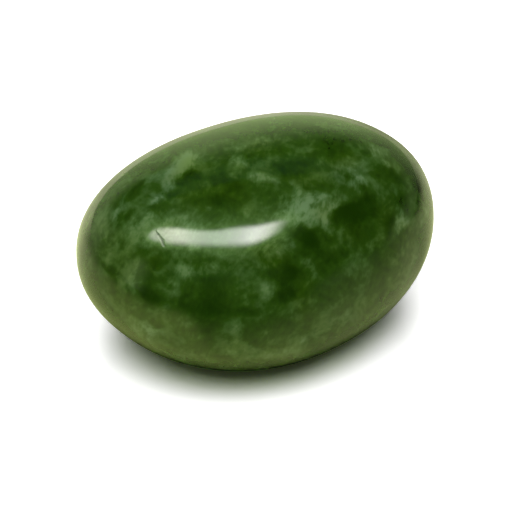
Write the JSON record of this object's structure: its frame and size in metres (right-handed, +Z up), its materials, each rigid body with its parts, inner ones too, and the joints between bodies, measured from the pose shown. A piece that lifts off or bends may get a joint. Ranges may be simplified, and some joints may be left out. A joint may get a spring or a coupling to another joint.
{
  "type": "polished jade pebble",
  "caption": "Tumbled and polished green jade pebble, a loose natural stone that lies on its flattest side.",
  "frame": {"origin": "under the middle of the stone, on the surface that it rests on", "axes": "+X along the stone's length, from its broad end to its narrower end; +Z up, through its thickness"},
  "size_m": [0.05, 0.0386, 0.0272],
  "materials": {
    "polished_jade": "high polish, mottled dark and pale green, slightly translucent"
  },
  "bodies": {
    "root": {"jade_pebble": "polished_jade"}
  },
  "joints": []
}
